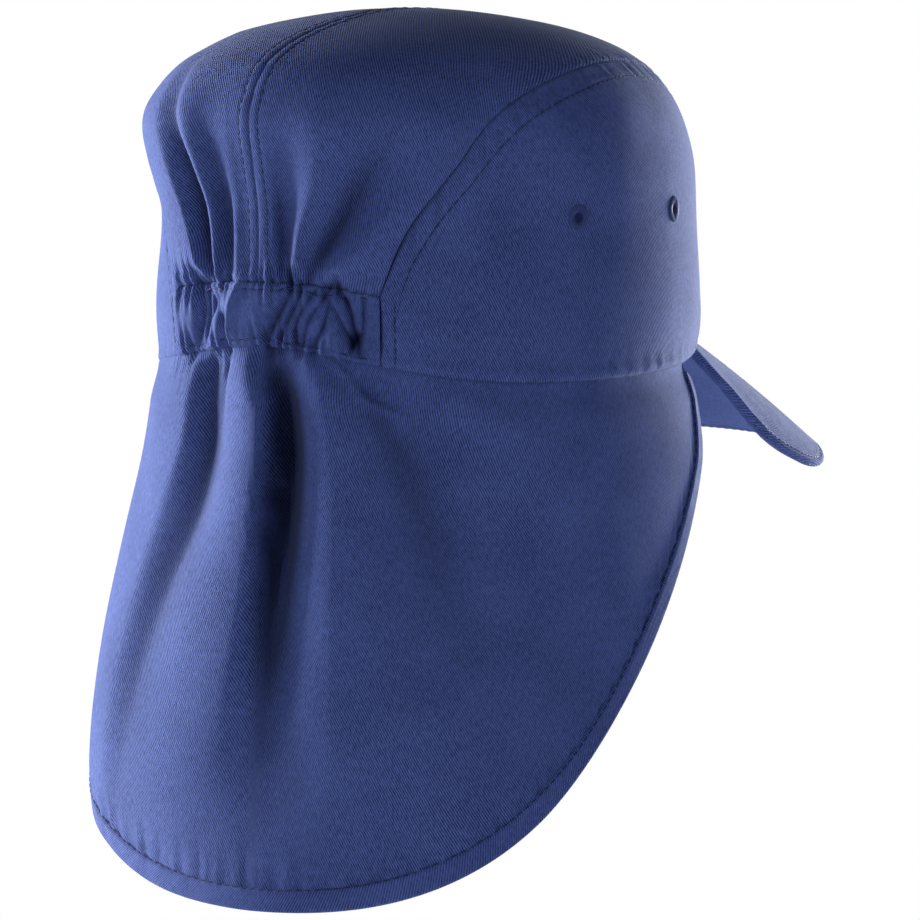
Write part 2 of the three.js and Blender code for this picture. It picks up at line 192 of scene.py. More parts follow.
def mixColour(wire, share, first, second):
    made = wire.tree.nodes.new("ShaderNodeMix")
    made.data_type = "RGBA"
    for index, value in ((0, share), (6, first), (7, second)):
        if isinstance(value, Wire):
            wire.tree.links.new(value.socket, made.inputs[index])
        else:
            made.inputs[index].default_value = value
    return Wire(wire.tree, made.outputs[2])


def clothMaterial(name, look):
    material = bpy.data.materials.new(name)
    material.use_nodes = True
    tree = material.node_tree
    finish = tree.nodes["Principled BSDF"]
    start = Wire(tree)
    cloth = start.node("UVMap", {"uv_map": "cloth"})
    parts = tree.nodes.new("ShaderNodeSeparateXYZ")
    tree.links.new(cloth.socket, parts.inputs[0])
    across = Wire(tree, parts.outputs[0])
    upward = Wire(tree, parts.outputs[1])

    def mottle(scale, detail, rough=0.5, vector=cloth):
        sockets = {"Vector": vector, "Scale": scale, "Detail": detail, "Roughness": rough}
        return start.node("TexNoise", None, sockets)

    # the rib of the twill wanders a little, and its yarns differ
    wander = mottle(160, 2) * 1.6
    lean = radians(look["ribLean"])
    phase = (across * sin(lean) + upward * cos(lean)) * (2 * pi / look["ribPitch"]) + wander
    rib = phase.wave() * 0.5 + 0.5
    yarnLength = start.node("VectorMath", {"operation": "MULTIPLY"}, {0: cloth, 1: look["yarnScale"]})
    yarn = mottle(1, 2, 0.6, yarnLength)
    speckle = mottle(2600, 2, 0.7)
    fuzz = mottle(700, 3, 0.65)
    worn = mottle(34, 3, 0.55)
    crumple = mottle(look["crumpleScale"], 3, 0.5)
    height = rib * look["ribDepth"] + yarn * 0.55 + speckle * 0.45 + fuzz * 0.5
    tone = rib * 0.62 + yarn * 0.70 + speckle * 0.50 + fuzz * 0.40 + worn * 0.40 - look["tonePlain"]
    tone = tone.limited(0, 1)
    colour = mixColour(start, tone, (*look["dark"], 1), (*look["light"], 1))
    # painted shade: the base colour is darkened towards a near-black blue in the bottom of the creases, where
    # shade falls, as far as the crease layer says
    crease = tree.nodes.new("ShaderNodeSeparateXYZ")
    tree.links.new(start.node("UVMap", {"uv_map": "crease"}).socket, crease.inputs[0])
    deep = (Wire(tree, crease.outputs[0]) * 2 - 1).limited(0, 1)
    colour = mixColour(start, deep * look["creaseShade"], colour, (*look["creasePaintedShadeColour"], 1))
    tree.links.new(colour.socket, finish.inputs["Base Color"])
    rough = 0.97 - tone * 0.12
    tree.links.new(rough.socket, finish.inputs["Roughness"])
    coarseSockets = {"Strength": look["crumple"], "Distance": look["crumpleDeep"], "Height": crumple}
    coarse = start.node("Bump", None, coarseSockets)
    fineSockets = {
        "Strength": look["weave"], "Distance": look["weaveDeep"], "Height": height, "Normal": coarse,
    }
    fine = start.node("Bump", None, fineSockets)
    tree.links.new(fine.socket, finish.inputs["Normal"])
    finish.inputs["Specular IOR Level"].default_value = 0.12
    finish.inputs["Sheen Weight"].default_value = look["sheen"]
    finish.inputs["Sheen Roughness"].default_value = 0.35
    finish.inputs["Sheen Tint"].default_value = (0.85, 0.91, 1, 1)
    return material


twill = {
    "ribLean": 60, "ribPitch": 0.00074, "ribDepth": 0.8, "yarnScale": (1500, 420, 1), "tonePlain": 0.86,
    "dark": (0.005, 0.011, 0.058), "light": (0.080, 0.122, 0.375),
    "crumpleScale": 95, "crumple": 0.22, "crumpleDeep": 0.0016, "weave": 0.5, "weaveDeep": 0.00022,
    # creaseShade and the crease colour paint shade into the bottom of the creases
    "sheen": 0.06, "creaseShade": 0.72, "creasePaintedShadeColour": (0.002, 0.0035, 0.014),
}
crownCloth = clothMaterial("crownCloth", twill)
casingCloth = clothMaterial("casingCloth", {**twill, "crumple": 0.35, "crumpleScale": 140})
flapCloth = clothMaterial("flapCloth", {**twill, "crumple": 0.20, "crumpleScale": 80})
hemLook = {"ribLean": -52, "dark": (0.012, 0.021, 0.092), "light": (0.068, 0.104, 0.330)}
hemCloth = clothMaterial("hemCloth", {**twill, **hemLook, "crumple": 0.45, "crumpleScale": 170})
peakLook = {"ribLean": 50, "dark": (0.006, 0.013, 0.066), "light": (0.072, 0.114, 0.365)}
peakCloth = clothMaterial("peakCloth", {**twill, **peakLook, "crumple": 0.25, "sheen": 0.02})


def threadMaterial(name, look):
    material = bpy.data.materials.new(name)
    material.use_nodes = True
    tree = material.node_tree
    finish = tree.nodes["Principled BSDF"]
    start = Wire(tree)
    place = start.node("TexCoord", None, None, out=3)
    twist = start.node("TexNoise", None, {"Vector": place, "Scale": look["twist"], "Detail": 2.0})
    colour = mixColour(start, twist, (*look["dark"], 1), (*look["light"], 1))
    tree.links.new(colour.socket, finish.inputs["Base Color"])
    fine = start.node("Bump", None, {"Strength": 0.5, "Distance": 0.00012, "Height": twist})
    tree.links.new(fine.socket, finish.inputs["Normal"])
    rough = 0.75 - twist * 0.2
    tree.links.new(rough.socket, finish.inputs["Roughness"])
    finish.inputs["Sheen Weight"].default_value = look["sheen"]
    finish.inputs["Specular IOR Level"].default_value = 0.15
    return material


# painted shade: the seam thread, tone on tone with the cloth, is coloured far darker than it, for the shade
# in the stitch holes
seamShadedLook = {"twist": 2600, "dark": (0.004, 0.008, 0.036), "light": (0.014, 0.026, 0.105), "sheen": 0.0}
seamThread = threadMaterial("seamThread", seamShadedLook)
eyeletLook = {"twist": 3200, "dark": (0.008, 0.014, 0.062), "light": (0.036, 0.060, 0.210), "sheen": 0.05}
eyeletThread = threadMaterial("eyeletThread", eyeletLook)
print("stage: materials")

# shape of the cap, in millimetres
# turn is in degrees from the centre back, and rise is measured along the cloth from the rim
crownLength = 200
crownWidth = 160
crownHeight = 109
crownGirth = crownHeight + crownLength / 3
rimDip = 4.5
casingHeight = 22.5
casingTurn = 27
casingBulge = 1.6
flapDrop = 163
flapTurn = 121
flapFlare = 7
hemWidth = 7

# along, rise, spread, lean
crownSections = [
    (0.00, 0.000, 0.985, 0.000), (0.10, 0.155, 1.000, 0.000), (0.28, 0.450, 1.000, 0.000),
    (0.36, 0.575, 1.000, 0.025),
    (0.44, 0.705, 0.975, 0.075), (0.50, 0.790, 0.915, 0.100), (0.56, 0.855, 0.835, 0.120),
    (0.62, 0.900, 0.730, 0.127),
    (0.70, 0.940, 0.580, 0.130), (0.80, 0.972, 0.390, 0.140), (0.90, 0.993, 0.195, 0.150),
    (1.00, 1.000, 0.000, 0.155),
]
# way, rise
sideSeam = [
    (0.000, casingHeight / crownHeight), (0.026, 0.365), (0.059, 0.475), (0.105, 0.578),
    (0.157, 0.687), (0.216, 0.763), (0.294, 0.815), (0.392, 0.847), (0.490, 0.855),
    (0.595, 0.830), (0.739, 0.770), (0.869, 0.738), (1.000, 0.728),
]
# turn, along, wide, high, swell
crownPuffs = [(45, 0.42, 26, 0.10, 2.3), (20, 0.38, 9, 0.16, 2.0), (9, 0.30, 4, 0.12, -1.6)]
frontPuffs = [(58, 0.26, 16, 0.09, -3.2), (120, 0.12, 30, 0.08, 1.2)]
# turn, wide, swing, by, tuck
flapSwings = [
    (-58, 36, 21, 0.75, 0.45), (48, 30, 5, 0.90, 0.00), (112, 26, 5, 0.20, 0.00), (-112, 26, 5, 0.20, 0.00),
]
# across, side, reach, drop, crest
peakEdge = [
    (0.00, 0.000, 1.000, 1.12, 0.55), (0.25, 0.375, 0.985, 1.15, 0.65), (0.45, 0.660, 0.915, 1.21, 0.90),
    (0.60, 0.840, 0.800, 1.33, 1.00), (0.72, 0.950, 0.620, 1.43, 0.90), (0.82, 0.995, 0.390, 1.36, 0.65),
    (0.91, 1.000, 0.030, 1.02, 0.35), (1.00, 0.975, -0.430, 0.22, 0.00),
]


def readTable(rows, column, place):
    keys = np.array([row[0] for row in rows], float)
    values = np.array([row[column] for row in rows], float)
    slopes = np.empty_like(values)
    slopes[1:-1] = (values[2:] - values[:-2]) / (keys[2:] - keys[:-2])
    slopes[0] = (values[1] - values[0]) / (keys[1] - keys[0])
    slopes[-1] = (values[-1] - values[-2]) / (keys[-1] - keys[-2])
    at = np.clip(place, keys[0], keys[-1])
    i = np.clip(np.searchsorted(keys, at, side="left") - 1, 0, len(keys) - 2)
    step = keys[i + 1] - keys[i]
    t = (at - keys[i]) / step
    level = values[i] + (values[i + 1] - values[i]) * t * t * (3 - 2 * t)
    startPull = t * (1 - t) ** 2 * step * slopes[i]
    return level + startPull + t * t * (t - 1) * step * slopes[i + 1]


def bell(distance, reach):
    return np.exp(-(distance / reach) ** 2)


def ease(value, low, high):
    t = np.clip((value - low) / (high - low), 0, 1)
    return t * t * (3 - 2 * t)


def fromBack(turn):
    return np.abs((turn + 180) % 360 - 180)


def rimHeight(turn):
    away = fromBack(turn)
    return 12.7 * bell(away, 37) + 8 * bell(away - 180, 46) - rimDip


def planPoint(turn, spread, height):
    angle = np.radians(turn)
    x = -np.sin(angle) * crownWidth / 2 * spread
    y = np.cos(angle) * crownLength / 2 * spread
    return np.stack(np.broadcast_arrays(x, y, height), -1)


def planNormal(turn):
    angle = np.radians(turn)
    x, y = -np.sin(angle) * crownLength, np.cos(angle) * crownWidth
    size = np.hypot(x, y)
    return np.stack([x / size, y / size, np.zeros_like(x)], -1)


def outward(turn, distance):
    return planNormal(turn) * np.asarray(distance)[..., None]


def plainCrown(turn, along):
    height = readTable(crownSections, 1, along) * crownHeight
    spread = readTable(crownSections, 2, along)
    lean = readTable(crownSections, 3, along) * crownLength / 2
    point = planPoint(turn, spread, height + rimHeight(turn) * (1 - ease(height, 0, 60)))
    point[..., 1] += lean
    return point


def alongAtHeight(height):
    places = np.linspace(0, 1, 4001)
    return np.interp(height, readTable(crownSections, 1, places) * crownHeight, places)


casingAlong = float(alongAtHeight(casingHeight))
seamRows = []
for way, rise in sideSeam:
    seamRows.append((casingTurn + (180 - casingTurn) * way, float(alongAtHeight(rise * crownHeight))))


def seamAlong(turn):
    return readTable(seamRows, 1, fromBack(turn))


def swellAt(puffs, turn, along):
    total = 0
    for at, up, wide, high, swell in puffs:
        total = total + swell * bell(fromBack(turn) - at, wide) * bell(along - up, high)
    return total


def crownAt(turn, along):
    swell = swellAt(crownPuffs, turn, along) * ease(along - seamAlong(turn), 0, 0.07)
    return plainCrown(turn, along) + outward(turn, swell)


def frontAt(turn, along):
    swell = swellAt(frontPuffs, turn, along) * ease(seamAlong(turn) - along, 0, 0.05)
    return plainCrown(turn, along) + outward(turn, swell)


def flapAt(turn, down):
    share = np.maximum(down, 0) / flapDrop
    out = flapFlare * share ** 2
    for at, wide, swing, by, tuck in flapSwings:
        out = out + swing * bell(turn - at, wide) * ease(share, 0, by) * (1 - tuck * ease(share, by, 1.05))
    return planPoint(turn, 0.985, rimHeight(turn) - down) + outward(turn, out)


def flapDepth(turn):
    share = np.minimum(np.abs(turn) / flapTurn, 1)
    return (flapDrop + 12.7 - rimDip) * (1 - share ** 1.9) ** 0.91


def flapEdge(u, inset):
    turn = flapTurn * 0.985 * np.sin((2 * u - 1) * pi / 2)
    perDegree = np.linalg.norm(planPoint(turn + 1, 1, 0) - planPoint(turn, 1, 0), axis=-1)
    rise = (flapDepth(turn + 0.2) - flapDepth(turn - 0.2)) / (0.4 * perDegree)
    length = np.hypot(1, rise)
    return turn + rise / length * inset / perDegree, flapDepth(turn) - inset / length


# creases and small folds by rise along the cloth, below zero on the flap
# rise, turn, height, wide
folds = {
    "casingOne": [
        (-4, -20.5, 0, 1.96), (4, -19.5, -2.53, 1.96), (14, -17.3, -2.99, 1.76),
        (24, -18.6, -2.3, 1.96), (30, -19, 0, 2.74),
    ],
    "casingTwo": [
        (-4, -17.6, 0, 1.96), (4, -17.1, -2.3, 1.76), (14, -15.8, -2.76, 1.57), (24, -16.7, -2.3, 1.76),
        (30, -17.4, 0, 2.35),
    ],
    "casingThree": [
        (2, -15.9, 0, 1.96), (8, -15.1, -2.3, 1.76), (16, -13.7, -2.99, 1.76), (23, -15.2, -2.3, 1.76),
        (29, -15.6, 0, 2.35),
    ],
    "casingFour": [
        (6, -10, 0, 2.16), (10, -10.4, -1.98, 2.35), (15, -11.8, -2.48, 2.93), (18, -11.3, -2.48, 2.74),
        (23, -9.7, -1.49, 1.96), (28, -9.2, 0, 2.35),
    ],
    "casingFive": [
        (-3, -9.8, 0, 1.96), (2, -9.6, -2.08, 1.76), (11, -9.6, -1.6, 1.76), (17, -8.7, 0, 1.96),
    ],
    "casingBrow": [
        (-2, -8.2, 0, 2.35), (4, -8, 1.6, 2.35), (13, -7, 2, 2.74), (24, -4.2, 1.4, 2.35),
        (28, -3.8, 0, 2.35),
    ],
    "casingSix": [
        (-5, 1, 0, 2.91), (4, 1.4, -4.48, 2.68), (11, 3.9, -4.48, 2.43), (19, 6.6, -4.19, 2.18),
        (25, 7.2, -2.99, 2.43), (31, 7, 0, 3.4),
    ],
    "casingSeven": [
        (-3, 3.2, 0, 2.43), (2, 3.9, -3.59, 2.18), (8, 5.6, -3.89, 2.18), (17, 8.5, -4.19, 2.18),
        (25, 10.1, -3.29, 2.43), (30, 10.4, 0, 3.15),
    ],
    "casingEight": [
        (-2, 7.8, 0, 2.18), (2, 8, -2.99, 1.95), (9, 8.3, -3.59, 1.95), (16, 10.5, -3.89, 2.18),
        (22, 13.3, -3.59, 2.18), (28, 15, 0, 2.91),
    ],
    "casingNine": [
        (-2, 9.4, 0, 2.18), (3, 9.9, -3.29, 1.95), (11, 11.6, -3.89, 2.18), (17, 14, -3.59, 2.18),
        (24, 16.7, -3.59, 2.43), (30, 18.2, 0, 3.4),
    ],
    "casingTen": [
        (-3, 12.3, 0, 2.18), (3, 12.9, -3.29, 2.18), (9, 14.8, -3.89, 2.18), (17, 16, -2.39, 2.18),
        (21, 16.4, 0, 2.43),
    ],
    "casingEleven": [
        (1, 23, 0, 2.43), (5, 22.5, -3.59, 2.43), (11, 21.6, -5.38, 2.91), (18, 20.6, -5.68, 3.15),
        (24, 18.3, -3.59, 2.68), (29, 17.8, 0, 3.15),
    ],
    "casingTwelve": [
        (0, 20.8, 0, 2.43), (5, 21.4, -3.29, 2.18), (10, 23.4, -3.59, 2.18), (19, 23.9, -2.69, 2.18),
        (23, 24, 0, 2.43),
    ],
    "casingThirteen": [
        (2, 22, 0, 2.18), (6, 21, -2.39, 2.18), (11, 19.1, -2.99, 2.18), (17, 17.1, -2.39, 1.95),
        (21, 16.6, 0, 2.18),
    ],
    "flapNip": [
        (-26, -12.4, 0.0, 1.8), (-14, -10.8, -0.9, 1.4), (-5, -10.0, -1.7, 1.1), (0, -9.6, -0.8, 1.0),
        (4, -9.4, 0.0, 0.9),
    ],
    "flapSmallNip": [
        (-18, 0.8, 0.0, 1.6), (-9, -0.6, -0.8, 1.2), (-3, -1.2, -1.2, 1.0), (2, -1.4, 0.0, 0.9),
    ],
    "flapLoop": [
        (-22, 31, 0.0, 3.0), (-15, 31, 1.2, 2.4), (-11, 23.7, 1.6, 1.8), (-5, 20.0, 1.6, 1.4),
        (-1.6, 16, 0.9, 1.2), (3, 14, 0.0, 1.0),
    ],
    "crownLeftHollow": [
        (58, -58, 0, 26), (76, -56, -2.07, 26), (98, -56, -2.07, 26), (120, -56, 0, 24),
    ],
    "browSwell": [
        (-1, 130, 0.6, 18.0), (6, 130, 1.9, 18.0), (12, 130, 1.6, 18.0), (20, 130, 0.4, 18.0),
        (27, 130, 0.0, 18.0),
    ],
    "sideCrease": [
        (20, 81, 0.0, 12.0), (36, 81, 0.2, 12.0), (52, 81.5, 0.5, 12.0), (66, 82.5, 0.6, 12.0),
        (82, 88, 0.5, 12.0), (96, 92, 0.0, 13.0),
    ],
}
# crests and dips from the wearer's left to the right
# rise, turn, height
crownDrape = {
    "farLeft": [(20, -34.0, 0.0), (45, -44.0, 0.0), (75, -60.0, 0.0), (110, -80.0, 0.0)],
    "ridgeOuter": [
        (22, -15.2, 0.4), (31, -17.0, 2.4), (43, -18.6, 3.2), (55, -21.0, 3.2), (64, -23.6, 2.8),
        (75, -28.0, 1.8), (92, -33.6, 0.6), (106, -40.0, 0.0),
    ],
    "dipOuter": [
        (22, -13.2, -0.9), (28, -14.2, -3.2), (38, -14.8, -4.4), (51, -15.8, -4.2), (63, -17.8, -3.2),
        (75, -21.6, -1.9), (90, -26.0, -0.6), (104, -30.0, 0.0),
    ],
    "ridgeMiddle": [
        (22, -10.6, 0.4), (31, -11.4, 1.8), (43, -12.0, 2.4), (58, -13.4, 2.2), (74, -16.6, 1.6),
        (86, -20.6, 0.8), (102, -25.0, 0.0),
    ],
    "dipMiddle": [
        (22, -7.8, -0.8), (31, -8.5, -2.1), (41, -8.9, -2.5), (52, -9.4, -1.9), (62, -10.0, -1.0),
        (80, -12.0, 0.0),
    ],
    "ridgeInner": [
        (22, -4.8, 0.1), (31, -5.2, 0.9), (46, -5.6, 1.2), (60, -6.0, 0.9), (70, -6.4, 0.5),
        (86, -7.4, 0.0),
    ],
    "seamLeft": [(20, -3.0, 0.0), (100, -3.0, 0.0)],
    "seamRight": [(20, 3.4, 0.0), (100, 3.4, 0.0)],
    "dipRight": [
        (22, 6.4, -0.9), (31, 6.2, -2.6), (40, 6.0, -2.8), (51, 6.0, -1.8), (59, 6.2, -0.9),
        (74, 7.0, 0.0),
    ],
    "ridgeRight": [
        (22, 8.6, 0.6), (32, 9.4, 2.2), (41, 10.4, 2.8), (53, 12.6, 2.3), (63, 15.0, 1.4),
        (80, 19.0, 0.0),
    ],
    "dipLong": [
        (22, 10.9, -0.9), (30, 13.4, -3.6), (40, 17.4, -5.2), (52, 22.6, -5.0), (61, 26.2, -3.6),
        (72, 30.8, -2.0), (90, 37.0, 0.0),
    ],
    "ridgeFar": [
        (22, 15.4, 0.5), (30, 19.2, 2.2), (39, 24.0, 3.2), (51, 30.0, 3.0), (61, 35.0, 2.0),
        (78, 43.0, 0.0),
    ],
    "farRight": [(20, 27.0, 0.0), (40, 42.0, 0.0), (60, 54.0, 0.0), (90, 70.0, 0.0)],
}
flapDrape = {
    "leftStart": [(-160, -100, 0.0), (0, -84, 0.0)],
    "leftSwell": [
        (-160, -60, -2.6), (-132, -60, -2.6), (-106, -60, -1.4), (-76, -60, 1.4), (-50, -58, 3.0),
        (-30, -56, 3.0), (-10, -52, 2.6), (0, -48, 1.4), (4, -48, 0.6),
    ],
    "crestOne": [
        (-150, -43.0, 0.0), (-128, -40.6, 0.6), (-106, -38.6, 1.4), (-84, -36.0, 2.2),
        (-59, -32.4, 2.8), (-38, -26.6, 3.0), (-26, -22.6, 3.0), (-14, -21.8, 2.8), (-5, -19.8, 2.0),
        (-1, -19.4, 0.8), (3, -19.2, 0.0),
    ],
    "valleyOne": [
        (-150, -37.0, 0.0), (-128, -34.0, -0.6), (-106, -31.6, -0.8), (-84, -28.2, -1.2),
        (-69, -25.0, -1.9), (-58, -21.8, -2.8), (-46, -18.6, -3.6), (-30, -16.0, -3.8),
        (-16, -15.4, -3.2), (-5, -14.8, -2.4), (-1, -14.6, -1.2), (3, -14.5, 0.0),
    ],
    "crestTwo": [
        (-155, -16.0, 0.0), (-132, -11.0, 1.0), (-106, -6.6, 2.8), (-76, -2.6, 4.0), (-52, -0.4, 5.2),
        (-30, 1.2, 5.8), (-16, 0.5, 5.0), (-6, -2.6, 2.8), (-1, -3.6, 0.8), (3, -4.2, 0.0),
    ],
    "deepDip": [
        (-155, 6.0, 0.0), (-134, 4.2, -0.8), (-108, 2.8, -3.8), (-78, 2.2, -8.8), (-54, 2.6, -12.8),
        (-32, 3.8, -13.0), (-16, 3.8, -9.6), (-7, 3.0, -5.4), (-1, 2.4, -2.0), (4, 2.2, 0.0),
    ],
    "ridgeRight": [
        (-155, 26.0, 0.0), (-132, 23.0, 1.8), (-104, 19.6, 4.4), (-73, 18.8, 6.2), (-49, 18.6, 6.6),
        (-28, 17.6, 5.8), (-13, 15.4, 4.0), (-5, 13.0, 1.8), (-1, 10.6, 0.6), (3, 9.6, 0.0),
    ],
    "dipRight": [
        (-130, 54.0, 0.0), (-96, 50.0, -2.2), (-68, 45.0, -4.6), (-44, 40.0, -6.4), (-25, 34.0, -6.0),
        (-11, 27.0, -3.8), (-5, 22.0, -1.8), (-1, 19.0, -0.6), (3, 18.0, 0.0),
    ],
    "rightEnd": [(-160, 92, 0.0), (-60, 84, 0.0), (-20, 66, 0.0), (0, 38, 0.0)],
}
# lines that start a step steeply, as a pinched dip does
pinched = {"valleyOne": 0.5, "deepDip": 0.35, "dipOuter": 0.5, "dipMiddle": 0.5, "dipLong": 0.4}
# how sharp the middle of a crease is
foldPower = {"casing": 1.15, "soft": 1.8}
print("stage: tables")


def perTurn(turn):
    angle = np.radians(turn)
    return np.hypot(np.cos(angle) * crownWidth, np.sin(angle) * crownLength) / 2 * pi / 180


def foldRelief(turn, rise):
    total = np.zeros(np.broadcast(turn, rise).shape)
    for name, rows in folds.items():
        low, high = rows[0][0], rows[-1][0]
        middle = readTable(rows, 1, rise)
        slope = (readTable(rows, 1, rise + 0.5) - readTable(rows, 1, rise - 0.5)) * perTurn(turn)
        away = (turn - middle) * perTurn(turn) / np.hypot(1, slope)
        height = readTable(rows, 2, rise) * ((rise > low) & (rise < high))
        wide = readTable(rows, 3, rise)
        power = foldPower["casing" if name.startswith("casing") else "soft"]
        total += height * np.exp(-np.abs(away / wide) ** power)
    return total


def drapeRelief(drape, turn, rise):
    # a step from each line to the next
    names = list(drape)
    places = [(readTable(rows, 1, rise), readTable(rows, 2, rise)) for rows in drape.values()]
    total = np.zeros(np.broadcast(turn, rise).shape) + places[0][1]
    for name, (start, low), (end, high) in zip(names, places, places[1:]):
        share = np.clip((turn - start) / (end - start), 0, 1)
        pinch = pinched.get(name, 0)
        smooth, steep = share * share * (3 - 2 * share), 1 - (1 - share) ** 2
        total += (high - low) * ((1 - pinch) * smooth + pinch * steep)
    return total


rng = np.random.default_rng(7)
# how far the fine gathers run from each edge
gatherReach = {"casingTop": 7, "rim": 8, "flap": 6}
gatherWaves = [(rng.uniform(1.6, 4.4), rng.uniform(0, 2 * pi), rng.uniform(0.5, 1)) for i in range(9)]


def gatherRipple(turn, rise, line, reach):
    # fine gathers on both sides of a seam, fewer on the flat seam at the centre
    lean = 0.02 * (rise - line)
    ripple = sum(size * np.sin(rate * turn + shift + lean) for rate, shift, size in gatherWaves) / 4
    inside = (1 - ease(fromBack(turn), casingTurn - 3, casingTurn + 2)) * (1 - 0.8 * bell(turn + 3, 4.5))
    return ripple * inside * bell(rise - line, reach)


def groove(distance, deep, wide):
    return -deep * bell(distance, wide)


seamEdge = {"deep": 0.45, "wide": 0.45, "ridge": 0.16, "ridgeAt": 2.0, "ridgeWide": 1.4}
topstitch = {"deep": 0.20, "wide": 0.45, "puff": 0.05, "puffAt": 1.3, "puffWide": 0.8}


def seamEdgeRelief(distance):
    # turned edge at a seam, with the seam allowance standing up under it
    ridge = seamEdge["ridge"] * bell(distance - seamEdge["ridgeAt"], seamEdge["ridgeWide"])
    return groove(distance, seamEdge["deep"], seamEdge["wide"]) + ridge


def topstitchRelief(distance):
    # stitches draw the cloth in, and it puffs up beside them
    puff = topstitch["puff"] * bell(np.abs(distance) - topstitch["puffAt"], topstitch["puffWide"])
    return groove(distance, topstitch["deep"], topstitch["wide"]) + puff


puckerWaves = [(rng.uniform(0.55, 1.5), rng.uniform(0, 2 * pi)) for i in range(5)]


def pucker(position, distance, size, reach):
    # position runs along the seam in millimetres
    wave = sum(np.sin(rate * position + shift) for rate, shift in puckerWaves) / 2.6
    return size * wave * bell(distance, reach)


def gathered(turn, rise):
    ripple = gatherRipple(turn, rise, casingAlong * crownGirth, gatherReach["casingTop"])
    return foldRelief(turn, rise) + ripple + gatherRipple(turn + 3, rise, 0, gatherReach["rim"])


def spaced(share, crowd):
    # more rows near both ends
    return share - crowd * np.sin(2 * pi * share) / (2 * pi)


def gridNormals(points, flip=1):
    across = np.gradient(points, axis=0)
    upward = np.gradient(points, axis=1)
    normal = np.cross(across, upward) * flip
    return normal / np.maximum(np.linalg.norm(normal, axis=-1, keepdims=True), 1e-12)


def clothLength(points, axis):
    steps = np.linalg.norm(np.diff(points, axis=axis), axis=-1)
    start = np.zeros_like(np.take(steps, [0], axis))
    return np.concatenate([start, np.cumsum(steps, axis=axis)], axis=axis)


def makeGrid(name, points, cloth, material, flip=False, weld=0.0, leaveOut=None, crease=None):
    # points and cloth are arrays of columns + 1 by rows + 1, in millimetres
    columns, rows = points.shape[0] - 1, points.shape[1] - 1
    form = bmesh.new()
    layer, creaseLayer = form.loops.layers.uv.new("cloth"), form.loops.layers.uv.new("crease")
    bmesh.ops.create_grid(form, x_segments=columns, y_segments=rows, size=0.5)
    places = (points * mm).tolist()
    flat = (cloth * mm).tolist()
    deep = (np.zeros(points.shape[:2]) if crease is None else crease).tolist()
    for vert in form.verts:
        i, j = round((vert.co.x + 0.5) * columns), round((vert.co.y + 0.5) * rows)
        vert.co = places[i][j]
        for loop in vert.link_loops:
            loop[layer].uv = flat[i][j]
            # the crease layer holds how deep the painted shade goes at each point
            loop[creaseLayer].uv = (0.5 + 0.5 * deep[i][j], 0)
    for face in form.faces:
        face.smooth = True
    if flip:
        bmesh.ops.reverse_faces(form, faces=form.faces)
    if leaveOut:
        gone = [face for face in form.faces if leaveOut(face.calc_center_median() / mm)]
        bmesh.ops.delete(form, geom=gone, context="FACES")
    if weld:
        bmesh.ops.remove_doubles(form, verts=form.verts, dist=weld * mm)
        bmesh.ops.recalc_face_normals(form, faces=form.faces)
    mesh = bpy.data.meshes.new(name)
    form.to_mesh(mesh)
    form.free()
    mesh.materials.append(material)
    made = bpy.data.objects.new(name, mesh)
    bpy.context.collection.objects.link(made)
    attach(made, "root")
    return made


def thicken(piece, look):
    shell = piece.modifiers.new("cloth", "SOLIDIFY")
    shell.thickness = look["wall"] * mm
    shell.offset = -1
    shell.use_even_offset = False
    soft = piece.modifiers.new("edge", "BEVEL")
    soft.width = look["edge"] * mm
    soft.segments = 2
    soft.limit_method = "ANGLE"
    soft.angle_limit = radians(62)


def creaseDepth(relief, look):
    # how far the cloth lies below its surroundings, as a share of the depth that shades it fully; the cloth
    # materials paint shade into their colour by it
    around = relief.copy()
    for axis, passes in enumerate(look["creaseSpread"]):
        for i in range(passes):
            before = np.concatenate([np.take(around, [0], axis), np.delete(around, -1, axis)], axis)
            after = np.concatenate([np.delete(around, 0, axis), np.take(around, [-1], axis)], axis)
            around = 0.5 * around + 0.25 * (before + after)
    return np.clip((around - relief) / look["creaseFull"], 0, 1)


def shareGrid(columns, rows):
    return np.meshgrid(np.arange(columns + 1) / columns, np.arange(rows + 1) / rows, indexing="ij")


# front panel, from one end of the casing round the forehead to the other
frontPanel = {
    "columns": 460, "rows": 96, "wall": 1.2, "edge": 0.35, "creaseSpread": (8, 8), "creaseFull": 0.5,
    "topstitch": 7.5, "endStitch": 4.5, "rimGroove": 0.9, "rimRoll": 0.35,
    "seamPucker": 0.16, "rimPucker": 0.10, "perDegree": 1.55,
}
u, v = shareGrid(frontPanel["columns"], frontPanel["rows"])
turn = casingTurn + (360 - 2 * casingTurn) * spaced(u, 0.25)
along = seamAlong(turn) * spaced(v, 0.6)
points = frontAt(turn, along)
rise = along * crownGirth
away = (turn + 180) % 360 - 180
slope = (seamAlong(turn + 1) - seamAlong(turn - 1)) / 2 * crownGirth / perTurn(turn)
toSeam = (seamAlong(turn) - along) * crownGirth / np.hypot(1, slope)
toEnd = (fromBack(turn) - casingTurn) * perTurn(turn)
relief = seamEdgeRelief(toSeam) + topstitchRelief(toSeam - frontPanel["topstitch"])
relief += seamEdgeRelief(toEnd) * (rise < 26)
relief += topstitchRelief(toEnd - frontPanel["endStitch"]) * (1 - ease(rise, 20, 30))
relief += groove(rise, frontPanel["rimGroove"], 0.8) + frontPanel["rimRoll"] * bell(rise - 2.6, 1.6)
relief += pucker(turn * 1.6, toSeam - 4, frontPanel["seamPucker"], 5)
relief += pucker(turn * 1.6 + 40, rise - 3, frontPanel["rimPucker"], 4)
relief += foldRelief(away, rise)
points = points + gridNormals(points) * relief[..., None]
cloth = np.stack([turn * frontPanel["perDegree"], rise], -1)

eyeletHeight, eyeletSpace = 42.5, 2.5
eyeletTurns = {
    "eyelet_right_rear": 70, "eyelet_right_front": 100, "eyelet_left_front": -100, "eyelet_left_rear": -70,
}


